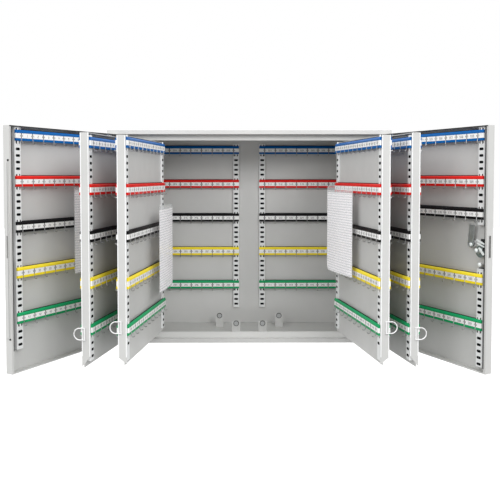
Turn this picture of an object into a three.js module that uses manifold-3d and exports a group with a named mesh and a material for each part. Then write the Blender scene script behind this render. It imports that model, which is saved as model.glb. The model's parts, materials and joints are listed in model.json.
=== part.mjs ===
// Wall key cabinet with two doors and four swing leaves, in millimetres, +Z up.
// The cabinet stands open: the doors and leaves sit in turned groups at their open angles.
// Inside the model X runs to the right, Y into the cabinet from its front plane, Z up from its base.
// The exported group is moved so that its origin is the centre of the back face.
import * as THREE from 'three';
import { mergeVertices } from 'three/addons/utils/BufferGeometryUtils.js';
import Module from 'manifold-3d';

const wasm = await Module();
wasm.setup();

// Driving dimensions
const WIDTH = 730;
const HEIGHT = 550;
const DEPTH = 250;
const STEEL = 1.5;
const GAP = 0.3;

const RIM = 10;                  // front flange, top and bottom
const SIDE_RIM = 9;              // front flange, left and right
const STOP_LIP = 25;             // height reached by the stop lip behind the doors
const STOP_DEPTH = 18.5;         // where the stop lip stands behind the front plane
const BACK_FACE = 229;           // front face of the inner back panel

const DOOR_DEPTH = 18;
const DOOR_Z = [10.8, 539.2];
const DOOR_LIP = 6;              // return lip along a door's upright edges
const DOOR_END_LIP = 2.5;        // and along its top and foot
const DOOR_HINGE_EDGE = 353;     // outer edge of a closed door, from the centre
const DOOR_FREE_EDGE = { left: 3.5, right: 1 };
const DOOR_PIVOT = { x: 349.5, y: 3.5, radius: 2 };
const DOOR_OPEN = { left: 119.0, right: 117.6 };
const DOOR_RACK = { left: 21, right: 14 };   // near end of the door racks, from the centre

const LEAF_LENGTH = 316;
const PIVOT_RADIUS = 2.5;
const EAR = 4.5;                 // radius of the ears that hold the pivots
const EAR_REACH = 8;             // how far an ear runs back from its pivot, to meet the return plate
const EAR_THICK = 2;
const PIN_PAST_EAR = 1;          // a leaf's pin goes this far through its ear
const WASHER = { gap: 0.5, thick: 1.5, overhang: 1.5 };
const DOOR_PIN_DEPTH = 5;        // a door's pin goes this far into the door
const DOOR_PIN_HOLE = 8;
const LEAF_FLANGE = 10;
const CAP_FOOT = 53;             // the cap on a leaf's free edge slants up from the sheet's foot to here
const RETURN_START = 7.5;        // from a leaf's pivot to the near end of its return plate
const LEAF = {
  a: {
    pivot: { x: 347.5, y: 24 },
    edge: 325,                   // hinge-side edge of the closed sheet, from the centre
    sheet: 84.5,                 // middle of the closed sheet, behind the front plane
    z: [30.5, 523],
    deepSide: 1,                 // +1: the deep rails stand on the back face
    open: { left: 100.3, right: 100.4 },
    pullHeight: 101,
    catchX: 36,
    catchHeight: 36.5,
    rackFoot: { front: 47, back: 44 },
  },
  b: {
    pivot: { x: 356.5, y: 32 },
    edge: 328,
    sheet: 170,
    z: [37.5, 517.5],
    deepSide: -1,
    open: { left: 97.2, right: 99.4 },
    pullHeight: 116,
    catchX: 85,
    catchHeight: 39.5,
    rackFoot: { front: 53, back: 46 },
  },
};

const RACK_WIDTH = 310;
const RACK_MARGIN = 3;
const RAIL_WIDTH = 17;
const DEEP_RAIL = 12.5;
const FLAT_RAIL = 4;
const WALL_RAIL = 8;
const SLOT_PITCH = 14;
const ROW_STEP = 7 * SLOT_PITCH;
const STRIP_TOP = 12.8;
const STRIP_BOTTOM = -10.5;
const STRIP_THICK = 4;
const HOOK_REACH = 14;
const HOOK_DROP = -18;
const LEDGE = { root: -6, top: -9, thick: 3 };   // the ledge that takes the place of a row of hooks

const BACK_INNER_EDGE = 29.5;    // near end of the wall racks, from the centre

// Top row of each rack, and the foot and head of the rails on the doors and the wall
const TOP_ROW = { wall: 507, door: 518, leaf: 501 };
const LOCK_DOOR_ROWS = [518, 420, 350, 210, 112];
const WALL_RAILS = [49, 526];
const DOOR_RAILS = { left: [60, 528], right: [22, 528] };
const RAIL_HEAD_ROOM = 4;        // between a leaf's top flange and its rails

const CATCH = { width: 22, foot: 18, gap: 3 };
const MAGNET = { radius: 6, thick: 2.5 };

const PULL = { reach: 25, inset: 7, height: 27, wire: 1.2 };

// Index cards: the near edge from the centre, how far each edge hangs out past the hooks, and the top.
const CARD = { width: 148, height: 210, thick: 1.2, clear: 1 };
const CARD_PLACE = {
  door: { near: 179, nearOut: 0, farOut: 0, top: 403 },
  left: { near: 172, nearOut: 9, farOut: 4, top: 352 },
  right: { near: 152, nearOut: 0, farOut: 11, top: 398 },
};

const LOCK = {
  plug: { x: 50, z: 286, radius: 5, y: [-3.5, 12] },
  keyway: { half: 0.8, height: 3.5, foot: 2 },
  barrel: { radius: 9, y: [-GAP - 0.1, 11] },
  rose: { radius: 15, y: [-2.8, -GAP] },
  plate: { x: [4, 29], z: [236, 322] },
  stud: { x: 22, z: 243, height: 14, radius: 2.5, head: 5 },
  lever: { y: [12.3, 14.8], half: 7, length: 41, lean: 5 },
  hook: { x: 18, z: 268, y: [9.2, 11.8], half: 5, length: 30, bite: [19, 25] },
  slotZ: [259, 306],
  slotY: [8.6, 12.4],
  room: { past: 20, z: [234, 328] },
};
const LOCK_STRIP = { thick: 2.4, y: [4, 15], z: [88, 463] };

const WELD = 1e-4;               // points closer than this are one point
const SIMPLIFY = 0.002;          // faces flatter than this are merged
const INSET = 0.1;               // joined pieces are drawn in by this, so that they share no face

// Materials
function paint(name, colour, roughness, metalness) {
  return new THREE.MeshStandardMaterial({ name, color: colour, roughness, metalness });
}

const BODY_PAINT = paint('body_paint', 0xd9dbdb, 0.45, 0.1);
const LEAF_PAINT = paint('leaf_paint', 0xd2d4d4, 0.45, 0.1);
const RACK_PLASTIC = paint('rack_plastic', 0xe8eaea, 0.4, 0.0);
const ZINC = paint('zinc', 0xa9aeb0, 0.35, 0.9);
const MAGNET_RUBBER = paint('magnet', 0x2b2b2d, 0.6, 0.2);
const PULL_WHITE = paint('pull_white', 0xeef0f0, 0.4, 0.1);
const CARD_PAPER = paint('card', 0xf2f1ec, 0.6, 0.0);
const CHROME = paint('lock_chrome', 0xc9ccce, 0.2, 1.0);

// Solids
function toSolid(geometry) {
  const bare = geometry.clone();
  bare.deleteAttribute('normal');
  bare.deleteAttribute('uv');
  const merged = mergeVertices(bare, WELD);
  const vertProperties = new Float32Array(merged.attributes.position.array);
  const triVerts = new Uint32Array(merged.index.array);
  return new wasm.Manifold(new wasm.Mesh({ numProp: 3, vertProperties, triVerts }));
}

function toGeometry(solid) {
  const result = solid.simplify(SIMPLIFY).getMesh();
  const geometry = new THREE.BufferGeometry();
  geometry.setAttribute('position', new THREE.BufferAttribute(result.vertProperties, 3));
  geometry.setIndex(new THREE.BufferAttribute(result.triVerts, 1));
  return geometry;
}

function join(geometries) {
  return toGeometry(geometries.map(toSolid).reduce((total, next) => total.add(next)));
}

function cut(geometry, cutters) {
  return toGeometry(cutters.map(toSolid).reduce((total, next) => total.subtract(next), toSolid(geometry)));
}

function box(x, y, z) {
  const size = [x, y, z].map(([low, high]) => Math.abs(high - low));
  const centre = [x, y, z].map(([low, high]) => (low + high) / 2);
  return new THREE.BoxGeometry(...size).translate(...centre);
}

// A round bar along Z or Y, from one end to the other.
function rodZ(x, y, z, radius, sides = 16) {
  const length = z[1] - z[0];
  const bar = new THREE.CylinderGeometry(radius, radius, length, sides).rotateX(Math.PI / 2);
  return bar.translate(x, y, (z[0] + z[1]) / 2);
}

function rodY(x, y, z, radius, sides = 24) {
  const length = y[1] - y[0];
  return new THREE.CylinderGeometry(radius, radius, length, sides).translate(x, (y[0] + y[1]) / 2, z);
}

// A bar along X whose section is a closed list of [y, z] points.
function barAlongX(section, x) {
  const shape = new THREE.Shape(section.map(([y, z]) => new THREE.Vector2(y, z)));
  const bar = new THREE.ExtrudeGeometry(shape, { depth: x[1] - x[0], bevelEnabled: false });
  const basis = new THREE.Matrix4().makeBasis(
    new THREE.Vector3(0, 1, 0),
    new THREE.Vector3(0, 0, 1),
    new THREE.Vector3(1, 0, 0),
  );
  return bar.applyMatrix4(basis).translate(x[0], 0, 0);
}

// An upright slab whose plan is a closed list of [x, y] points, of either turn.
function upright(plan, z) {
  const shape = new THREE.Shape(plan.map(([x, y]) => new THREE.Vector2(x, y)));
  const slab = new THREE.ExtrudeGeometry(shape, { depth: z[1] - z[0], bevelEnabled: false });
  return slab.translate(0, 0, z[0]);
}

// A span drawn in at both ends, by a hair unless another margin is given.
function inside([low, high], margin = INSET) {
  return [low + margin, high - margin];
}

function add(parent, name, geometry, material) {
  const mesh = new THREE.Mesh(geometry, material);
  mesh.name = name;
  parent.add(mesh);
  return mesh;
}

// A group whose children are written in closed, unturned coordinates and swing about a pivot.
function swing(parent, pivotX, pivotY, degrees) {
  const hinge = new THREE.Group();
  hinge.position.set(pivotX, pivotY, 0);
  hinge.rotation.z = THREE.MathUtils.degToRad(degrees);
  const closed = new THREE.Group();
  closed.position.set(-pivotX, -pivotY, 0);
  hinge.add(closed);
  parent.add(hinge);
  return closed;
}

// A span measured outward from the centre line, on the left or the right.
function outward(side, near, far) {
  return side === 'left' ? [-far, -near] : [near, far];
}

// Case: a wrapped shell with a front rim and stop lips, closed at the back by an inner panel.
function caseShell() {
  const half = WIDTH / 2;
  const wrap = cut(
    box([-half, half], [0, DEPTH], [0, HEIGHT]),
    [box([-half + STEEL, half - STEEL], [-1, DEPTH - STEEL], [STEEL, HEIGHT - STEEL])],
  );
  const pieces = [wrap];
  for (const side of ['left', 'right']) {
    pieces.push(box(outward(side, half - SIDE_RIM, half), [0, STEEL], [0, HEIGHT]));
  }
  const opening = [-half + SIDE_RIM, half - SIDE_RIM];
  const inner = [-half + STEEL, half - STEEL];
  const lip = [STOP_DEPTH, STOP_DEPTH + STEEL];
  for (const top of [false, true]) {
    const level = (low, high) => (top ? [HEIGHT - high, HEIGHT - low] : [low, high]);
    pieces.push(box([-half, half], [0, STEEL], level(0, RIM)));
    pieces.push(box(opening, [0, lip[1]], level(RIM - STEEL, RIM)));
    pieces.push(box(inner, lip, level(RIM - STEEL, STOP_LIP)));
  }
  return join(pieces);
}

function addCase(cabinet) {
  add(cabinet, 'case_shell', caseShell(), BODY_PAINT);
  const inner = WIDTH / 2 - STEEL - GAP;
  const low = STEEL + GAP;
  const high = HEIGHT - STEEL - GAP;
  const backPanel = join([
    box([-inner, inner], [BACK_FACE, BACK_FACE + STEEL], [low, high]),
    box([-inner, inner], [BACK_FACE, DEPTH - STEEL - GAP], [low, low + STEEL]),
    box([-inner, inner], [BACK_FACE, DEPTH - STEEL - GAP], [high - STEEL, high]),
  ]);
  add(cabinet, 'back_panel', backPanel, BODY_PAINT);
}

// Slotted rack: two upright rails and five key strips. X runs along the strips and Y out of the face.
// Each strip has a ledge that takes the place of its row of hooks.
function rackGeometry(rows, railZ, railDepth, railBreak) {
  const pieces = [];
  for (const start of [0, RACK_WIDTH - RAIL_WIDTH]) {
    pieces.push(box([start, start + RAIL_WIDTH], [0, railDepth], railZ));
  }
  const back = railDepth - GAP;
  const tip = railDepth + HOOK_REACH;
  const section = [
    [back, STRIP_TOP], [railDepth + STRIP_THICK, STRIP_TOP], [railDepth + STRIP_THICK, LEDGE.root],
    [tip, LEDGE.top], [tip, HOOK_DROP], [tip - LEDGE.thick, HOOK_DROP],
    [railDepth + LEDGE.thick, STRIP_BOTTOM], [back, STRIP_BOTTOM],
  ];
  for (const row of rows) {
    pieces.push(barAlongX(section, inside([0, RACK_WIDTH])).translate(0, 0, row));
  }
  const rack = join(pieces);
  return railBreak ? cut(rack, [railBreak]) : rack;
}

// Places a rack on a face: facing +Y or -Y, with its low-X end at x.
function addRack(parent, name, geometry, x, y, facing) {
  const rack = add(parent, name, geometry, RACK_PLASTIC);
  if (facing > 0) {
    rack.position.set(x, y, 0);
  } else {
    rack.rotation.z = Math.PI;
    rack.position.set(x + RACK_WIDTH, y, 0);
  }
}

function evenRows(top) {
  return [0, 1, 2, 3, 4].map((index) => top - index * ROW_STEP);
}

function addBackRacks(cabinet) {
  for (const side of ['left', 'right']) {
    const x = side === 'left' ? -BACK_INNER_EDGE - RACK_WIDTH : BACK_INNER_EDGE;
    const geometry = rackGeometry(evenRows(TOP_ROW.wall), WALL_RAILS, WALL_RAIL);
    addRack(cabinet, `back_rack_${side}`, geometry, x, BACK_FACE - GAP, -1);
  }
}

// Floor catch: a folded bracket with a round magnet that holds a closed leaf.
function addCatch(cabinet, side, key) {
  const leaf = LEAF[key];
  const middle = side === 'left' ? -leaf.catchX : leaf.catchX;
  const across = [middle - CATCH.width / 2, middle + CATCH.width / 2];
  const magnetFront = leaf.sheet + STEEL / 2 + CATCH.gap;
  const magnetBack = magnetFront + MAGNET.thick;
  const bracket = join([
    box(across, [magnetBack, magnetBack + STEEL], [STEEL, leaf.catchHeight]),
    box(across, [magnetBack, magnetBack + CATCH.foot], [STEEL, 2 * STEEL]),
  ]);
  add(cabinet, `leaf_catch_${side}_${key}`, bracket, BODY_PAINT);
  const disc = rodY(middle, [magnetFront, magnetBack], leaf.catchHeight - MAGNET.radius, MAGNET.radius);
  add(cabinet, `catch_magnet_${side}_${key}`, disc, MAGNET_RUBBER);
}

function addPins(cabinet, side) {
  const sign = side === 'left' ? -1 : 1;
  const roof = HEIGHT - STEEL;
  for (const key of ['a', 'b']) {
    const { pivot, z } = LEAF[key];
    const rod = (from, to, radius) => rodZ(sign * pivot.x, pivot.y, [from, to], radius);
    const through = EAR_THICK + PIN_PAST_EAR;
    const clear = WASHER.gap + WASHER.thick;
    const wide = PIVOT_RADIUS + WASHER.overhang;
    const top = [rod(z[1] - through, roof, PIVOT_RADIUS), rod(z[1] + WASHER.gap, z[1] + clear, wide)];
    add(cabinet, `leaf_pin_${side}_${key}_top`, join(top), ZINC);
    const foot = [rod(STEEL, z[0] + through, PIVOT_RADIUS), rod(z[0] - clear, z[0] - WASHER.gap, wide)];
    add(cabinet, `leaf_pin_${side}_${key}_bottom`, join(foot), ZINC);
  }
  const { x, y, radius } = DOOR_PIVOT;
  const ends = {
    bottom: [RIM, DOOR_Z[0] + DOOR_PIN_DEPTH],
    top: [DOOR_Z[1] - DOOR_PIN_DEPTH, HEIGHT - RIM],
  };
  for (const [end, z] of Object.entries(ends)) {
    add(cabinet, `door_pin_${side}_${end}`, rodZ(sign * x, y, z, radius), ZINC);
  }
}

// Door: a pan of folded steel, open at the back inside a return lip.
function doorPan(side) {
  const free = DOOR_FREE_EDGE[side];
  const span = (inset) => outward(side, free + inset, DOOR_HINGE_EDGE - inset);
  const level = (inset) => [DOOR_Z[0] + inset, DOOR_Z[1] - inset];
  const sign = side === 'left' ? -1 : 1;
  const cutters = [
    box(span(STEEL), [STEEL, DOOR_DEPTH - STEEL], level(STEEL)),
    box(span(DOOR_LIP), [DOOR_DEPTH - 2 * STEEL, DOOR_DEPTH + 1], level(DOOR_END_LIP)),
  ];
  const holes = [[DOOR_Z[0] - 1, DOOR_Z[0] + DOOR_PIN_HOLE], [DOOR_Z[1] - DOOR_PIN_HOLE, DOOR_Z[1] + 1]];
  for (const z of holes) {
    cutters.push(rodZ(sign * DOOR_PIVOT.x, DOOR_PIVOT.y, z, DOOR_PIVOT.radius + GAP));
  }
  cutters.push(box(outward(side, free - 1, free + 2 * STEEL), LOCK.slotY, LOCK.slotZ));
  if (side === 'right') {
    cutters.push(rodY(LOCK.plug.x, [-1, 2 * STEEL], LOCK.plug.z, LOCK.barrel.radius + GAP));
  }
  return cut(box(span(0), [0, DOOR_DEPTH], level(0)), cutters);
}

// A card that hangs on a rack's hooks, written as the upright slab between its near and far edges.
function addCard(parent, where, side, hookTips) {
  const { near, nearOut, farOut, top } = CARD_PLACE[where];
  const sign = side === 'left' ? -1 : 1;
  const start = hookTips + CARD.clear + nearOut;
  const end = hookTips + CARD.clear + farOut;
  const far = near + CARD.width;
  const plan = [[near, start], [far, end], [far, end + CARD.thick], [near, start + CARD.thick]];
  const card = upright(plan.map(([x, y]) => [sign * x, y]), [top - CARD.height, top]);
  add(parent, `index_card_${where}`, card, CARD_PAPER);
}

function addLeftDoor(cabinet) {
  const door = swing(cabinet, -DOOR_PIVOT.x, DOOR_PIVOT.y, -DOOR_OPEN.left);
  add(door, 'door_left', doorPan('left'), BODY_PAINT);
  const rack = rackGeometry(evenRows(TOP_ROW.door), DOOR_RAILS.left, DEEP_RAIL);
  const start = -DOOR_RACK.left - RACK_WIDTH;
  addRack(door, 'door_rack_left', rack, start, STEEL + GAP, 1);
  const edge = DOOR_FREE_EDGE.left - GAP;
  const strip = cut(
    box([-edge, -edge + LOCK_STRIP.thick], LOCK_STRIP.y, LOCK_STRIP.z),
    [box([-edge - 1, 0], LOCK.slotY, LOCK.slotZ)],
  );
  add(door, 'locking_strip', strip, BODY_PAINT);
  addCard(door, 'door', 'left', STEEL + GAP + DEEP_RAIL + HOOK_REACH);
}

// Cam lock on the right door: a turning plug with a lever bar, and a hook bolt that leaves by the edge slot.
function addLock(door) {
  const { plug, keyway, barrel, rose, plate, stud, lever, hook } = LOCK;
  const base = STEEL + GAP;
  const mount = join([
    box(plate.x, [base, base + STEEL], plate.z),
    rodY(hook.x, [base + INSET, stud.height], hook.z, stud.radius),
    rodY(stud.x, [base + INSET, stud.height], stud.z, stud.radius),
    rodY(stud.x, [stud.height - 1, stud.height + 2], stud.z, stud.head),
  ]);
  add(door, 'lock_plate', mount, ZINC);
  const housing = cut(
    join([rodY(plug.x, rose.y, plug.z, rose.radius), rodY(plug.x, barrel.y, plug.z, barrel.radius)]),
    [rodY(plug.x, inside(plug.y, -1), plug.z, plug.radius + GAP)],
  );
  add(door, 'lock_housing', housing, CHROME);
  const key = box(
    [plug.x - keyway.half, plug.x + keyway.half],
    [plug.y[0] - 1, keyway.foot],
    [plug.z - keyway.height, plug.z + keyway.height],
  );
  add(door, 'cylinder_plug', cut(rodY(plug.x, plug.y, plug.z, plug.radius), [key]), CHROME);
  const arm = box([-lever.half, lever.half], inside(lever.y), [0, lever.length]);
  arm.rotateY(-THREE.MathUtils.degToRad(lever.lean)).translate(plug.x, 0, plug.z);
  add(door, 'lever_bar', join([rodY(plug.x, lever.y, plug.z, lever.half + 1), arm]), ZINC);
  const bolt = cut(
    join([
      rodY(hook.x, hook.y, hook.z, hook.half + 1),
      box([hook.x - hook.half, hook.x + hook.half], inside(hook.y), [hook.z, hook.z + hook.length]),
    ]),
    [
      rodY(hook.x, inside(hook.y, -1), hook.z, stud.radius + GAP),
      box([hook.x + 1, hook.x + hook.half + 1], inside(hook.y, -1), hook.bite.map((z) => hook.z + z)),
    ],
  );
  add(door, 'hook_bolt', bolt, ZINC);
}

function addRightDoor(cabinet) {
  const door = swing(cabinet, DOOR_PIVOT.x, DOOR_PIVOT.y, DOOR_OPEN.right);
  add(door, 'door_right', doorPan('right'), BODY_PAINT);
  const lockRoom = box([-1, RAIL_WIDTH + LOCK.room.past], [-1, DEEP_RAIL + 1], LOCK.room.z);
  const rack = rackGeometry(LOCK_DOOR_ROWS, DOOR_RAILS.right, DEEP_RAIL, lockRoom);
  addRack(door, 'door_rack_right', rack, DOOR_RACK.right, STEEL + GAP, 1);
  addLock(door);
}

// Swing leaf: a sheet with a flange along its top and a cap on its free edge. It is carried by a return
// whose ears turn on the pins.
function leafSheet(side, leaf) {
  const free = leaf.edge - LEAF_LENGTH;
  const span = outward(side, free, leaf.edge);
  const back = leaf.sheet - leaf.deepSide * (STEEL / 2);
  const face = leaf.sheet + leaf.deepSide * (STEEL / 2);
  const flange = face + leaf.deepSide * LEAF_FLANGE;
  const [low, high] = leaf.z;
  const section = [
    [back, low], [face, low], [face, high - STEEL], [flange, high - STEEL], [flange, high], [back, high],
  ];
  const { front, back: rear } = leafThickness(leaf);
  const [flatSide, deepSide] = leaf.deepSide > 0 ? [front, rear] : [rear, front];
  const head = high - INSET;
  const capSection = [[flatSide, low + STEEL], [deepSide, CAP_FOOT], [deepSide, head], [flatSide, head]];
  const cap = barAlongX(capSection, outward(side, free, free + STEEL));
  return join([barAlongX(section, inside(span, 2 * INSET)), cap]);
}

// Front and rear planes of a closed leaf, over its rails.
function leafThickness(leaf) {
  const depth = railDepths(leaf);
  return {
    front: leaf.sheet - STEEL / 2 - GAP - depth.front,
    back: leaf.sheet + STEEL / 2 + GAP + depth.back,
  };
}

function railDepths(leaf) {
  const deepAtBack = leaf.deepSide > 0;
  return { front: deepAtBack ? FLAT_RAIL : DEEP_RAIL, back: deepAtBack ? DEEP_RAIL : FLAT_RAIL };
}

// The return runs slantwise from beside the pivot to the sheet's hinge-side edge.
function leafReturn(side, leaf) {
  const sign = side === 'left' ? -1 : 1;
  const { pivot, edge, sheet, z } = leaf;
  const start = pivot.x - RETURN_START;
  const outline = [
    [start, pivot.y + 1.5], [start + STEEL, pivot.y + 1.5],
    [edge + GAP + STEEL, sheet + STEEL / 2], [edge + GAP, sheet + STEEL / 2],
  ];
  const pieces = [upright(outline.map(([x, y]) => [sign * x, y]), z)];
  const cutters = [];
  for (const level of [[z[0], z[0] + EAR_THICK], [z[1] - EAR_THICK, z[1]]]) {
    const arm = [pivot.y - 1, pivot.y + EAR_REACH];
    pieces.push(box(outward(side, start + 2 * INSET, pivot.x), arm, inside(level)));
    pieces.push(rodZ(sign * pivot.x, pivot.y, level, EAR));
    cutters.push(rodZ(sign * pivot.x, pivot.y, [level[0] - 1, level[1] + 1], PIVOT_RADIUS + GAP));
  }
  return cut(join(pieces), cutters);
}

// Finger pull: a closed D of round wire on the end cap, in the plane of X = x.
// Its straight side lies at y, and its round side faces the front.
function pullGeometry(x, y, z) {
  const half = PULL.height / 2;
  const bend = half - PULL.wire;
  const arm = PULL.reach - PULL.wire - bend;
  const at = (out, up) => new THREE.Vector3(x, y - out, z + up);
  const points = [];
  for (let step = 0; step <= 12; step += 1) {
    const angle = Math.PI / 2 - (Math.PI * step) / 12;
    points.push(at(arm + bend * Math.cos(angle), bend * Math.sin(angle)));
  }
  const path = new THREE.CurvePath();
  path.add(new THREE.LineCurve3(at(0, bend), points[0]));
  path.add(new THREE.CatmullRomCurve3(points));
  path.add(new THREE.LineCurve3(points[12], at(0, -bend)));
  const round = new THREE.Shape().absarc(0, 0, PULL.wire, 0, 2 * Math.PI);
  const loop = new THREE.ExtrudeGeometry(round, { extrudePath: path, steps: 26, curveSegments: 5 });
  const stem = box(
    [x - PULL.wire - 0.05, x + PULL.wire + 0.05],
    [y - PULL.wire, y + PULL.wire],
    [z - half - 0.1, z + half + 0.1],
  );
  return join([loop, stem]);
}

function addLeaf(cabinet, side, key) {
  const leaf = LEAF[key];
  const sign = side === 'left' ? -1 : 1;
  const body = swing(cabinet, sign * leaf.pivot.x, leaf.pivot.y, sign * leaf.open[side]);
  const label = `${side}_${key}`;
  add(body, `leaf_sheet_${label}`, leafSheet(side, leaf), LEAF_PAINT);
  add(body, `leaf_return_${label}`, leafReturn(side, leaf), LEAF_PAINT);
  const rows = evenRows(TOP_ROW.leaf);
  const top = leaf.z[1] - STEEL - GAP - RAIL_HEAD_ROOM;
  const rackStart = outward(side, leaf.edge - RACK_MARGIN - RACK_WIDTH, leaf.edge - RACK_MARGIN)[0];
  const depth = railDepths(leaf);
  const frontFace = leaf.sheet - STEEL / 2 - GAP;
  const backFace = leaf.sheet + STEEL / 2 + GAP;
  const backRack = rackGeometry(rows, [leaf.rackFoot.back, top], depth.back);
  const frontRack = rackGeometry(rows, [leaf.rackFoot.front, top], depth.front);
  addRack(body, `leaf_rack_back_${label}`, backRack, rackStart, backFace, 1);
  addRack(body, `leaf_rack_front_${label}`, frontRack, rackStart, frontFace, -1);
  const pullX = sign * (leaf.edge - LEAF_LENGTH - GAP - PULL.wire - 0.05);
  const pullY = leafThickness(leaf).front + PULL.inset;
  add(body, `finger_pull_${label}`, pullGeometry(pullX, pullY, leaf.pullHeight), PULL_WHITE);
  if (key === 'b') {
    addCard(body, side, side, backFace + depth.back + HOOK_REACH);
  }
}

// Assembly
const cabinet = new THREE.Group();
cabinet.position.set(0, -DEPTH, -HEIGHT / 2);
addCase(cabinet);
addBackRacks(cabinet);
for (const side of ['left', 'right']) {
  addPins(cabinet, side);
  for (const key of ['a', 'b']) {
    addCatch(cabinet, side, key);
    addLeaf(cabinet, side, key);
  }
}
addLeftDoor(cabinet);
addRightDoor(cabinet);

const part = new THREE.Group();
part.add(cabinet);
export default part;
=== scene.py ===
"""Key cabinet: materials, slotted rails, hook strips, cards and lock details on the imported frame.

Rack parts are written in closed-cabinet millimetres: X right, Y in from the front plane, Z up from the base.
Each is turned to its door's or leaf's open place with that body's own joint.
"""

import json
import math

import bpy
from mathutils import Matrix, Vector


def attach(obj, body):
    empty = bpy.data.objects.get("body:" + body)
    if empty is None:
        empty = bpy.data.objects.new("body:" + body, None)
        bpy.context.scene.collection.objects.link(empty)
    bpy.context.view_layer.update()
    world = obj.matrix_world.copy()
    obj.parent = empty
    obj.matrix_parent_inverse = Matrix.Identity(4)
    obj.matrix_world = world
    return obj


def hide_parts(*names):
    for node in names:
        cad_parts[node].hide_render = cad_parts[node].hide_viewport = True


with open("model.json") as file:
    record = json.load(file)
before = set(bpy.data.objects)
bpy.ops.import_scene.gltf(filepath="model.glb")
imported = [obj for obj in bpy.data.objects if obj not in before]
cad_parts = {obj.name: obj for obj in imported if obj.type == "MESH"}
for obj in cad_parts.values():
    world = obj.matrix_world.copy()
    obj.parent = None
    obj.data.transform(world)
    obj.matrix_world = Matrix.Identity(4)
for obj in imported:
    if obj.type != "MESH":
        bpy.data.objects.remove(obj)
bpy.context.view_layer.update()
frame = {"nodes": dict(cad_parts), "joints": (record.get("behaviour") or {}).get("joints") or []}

MM = 0.001
DEPTH = 250.0
HALF_HEIGHT = 275.0
BACK_WALL = 229.0

STEEL = 1.5
GAP = 0.3

# Doors: near edge, start of the rack and heights of the rails.
DOORS = {
    "left": {"near": 3.5, "rack": 21.0, "rails": (60.0, 537.2)},
    "right": {"near": 1.0, "rack": 14.0, "rails": (22.0, 537.2)},
}
LEAF_WIDTH = 316.0

RACK_WIDTH = 310.0
RAIL_WIDTH = 17.0
SLOT_PITCH = 14.0
ROW_STEP = 7 * SLOT_PITCH
DEEP, FLAT, WALL = 12.5, 4.0, 8.0   # how far each kind of rail stands off its face

# Leaves: hinge edge, depth of the sheet, top, and each rack's rail depth and foot.
LEAVES = {
    "a": {"edge": 325.0, "sheet": 84.5, "top": 523.0, "rack": {"front": (FLAT, 47.0), "back": (DEEP, 44.0)}},
    "b": {"edge": 328.0, "sheet": 170.0, "top": 517.5, "rack": {"front": (DEEP, 53.0), "back": (FLAT, 46.0)}},
}

HOOKS = 10
HOOK_PITCH = 31.0
STRIP_COLOURS = ("strip_blue", "strip_red", "strip_black", "strip_yellow", "strip_green")

TO_ROW = Matrix.Diagonal((MM, MM, MM, 1)) @ Matrix.Translation((0, -DEPTH, -HALF_HEIGHT))


# Materials


class Nodes:
    """A material's node tree, with short calls to add and link nodes."""

    def __init__(self, name):
        self.material = bpy.data.materials.new(name)
        self.material.use_nodes = True
        self.tree = self.material.node_tree
        self.shader = self.tree.nodes["Principled BSDF"]

    def add(self, kind, **inputs):
        node = self.tree.nodes.new(kind)
        for key, value in inputs.items():
            node.inputs[key.replace("_", " ")].default_value = value
        return node

    def link(self, output, target):
        self.tree.links.new(output, target)

    def set(self, **values):
        for key, value in values.items():
            self.shader.inputs[key.replace("_", " ")].default_value = value

    def noise(self, scale, detail=4.0, roughness=0.55):
        place = self.add("ShaderNodeTexCoord")
        noise = self.add("ShaderNodeTexNoise", Scale=scale, Detail=detail, Roughness=roughness)
        self.link(place.outputs["Object"], noise.inputs["Vector"])
        return noise.outputs["Fac"]

    def ramp(self, source, low, high, start=0.3, end=0.7):
        ramp = self.add("ShaderNodeMapRange")
        ramp.inputs["From Min"].default_value = start
        ramp.inputs["From Max"].default_value = end
        ramp.inputs["To Min"].default_value = low
        ramp.inputs["To Max"].default_value = high
        self.link(source, ramp.inputs["Value"])
        return ramp.outputs["Result"]

    def tint(self, source, first, second):
        mix = self.tree.nodes.new("ShaderNodeMix")
        mix.data_type = "RGBA"
        mix.inputs[6].default_value = (*first, 1)
        mix.inputs[7].default_value = (*second, 1)
        self.link(source, mix.inputs[0])
        return mix.outputs[2]

    def bump(self, source, distance, strength=1.0):
        bump = self.add("ShaderNodeBump", Strength=strength, Distance=distance)
        self.link(source, bump.inputs["Height"])
        self.link(bump.outputs["Normal"], self.shader.inputs["Normal"])


def shade(colour, factor):
    return tuple(min(1.0, c * factor) for c in colour)


# Noise scales, in cycles per metre.
PATCHES, HANDLED, PEEL = 7.0, 38.0, 1400.0
CLOUDS, FIBRES, CREASES, SCUFFS = 60.0, 2500.0, 22.0, 30.0
DRAWN = (40.0, 900.0, 900.0)

SHINE = (-0.07, 0.08)               # how far a coat's roughness strays
FINE = 0.00002                      # the relief of drawn metal and paper, in metres
RULE_PITCH, RULE_EDGE = 0.006, (0.21, 0.33)
PAPER, RULE = (0.97, 0.94, 0.95), (0.52, 0.52, 0.56)


def coated(name, colour, roughness, depth=0.00006, specular=0.45, variation=0.05):
    """Powder coat or moulded plastic: a fine peel, faint patches, and handled areas that shine more."""
    n = Nodes(name)
    n.set(IOR=1.48)
    n.shader.inputs["Specular IOR Level"].default_value = specular
    patches = n.ramp(n.noise(PATCHES, 5.0), 0.0, 1.0)
    colour_out = n.tint(patches, shade(colour, 1 - variation), shade(colour, 1 + variation / 2))
    n.link(colour_out, n.shader.inputs["Base Color"])
    shine = n.ramp(n.noise(HANDLED, 6.0), roughness + SHINE[0], roughness + SHINE[1])
    n.link(shine, n.shader.inputs["Roughness"])
    n.bump(n.noise(PEEL, 2.0), depth, 0.6)
    return n.material


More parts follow.
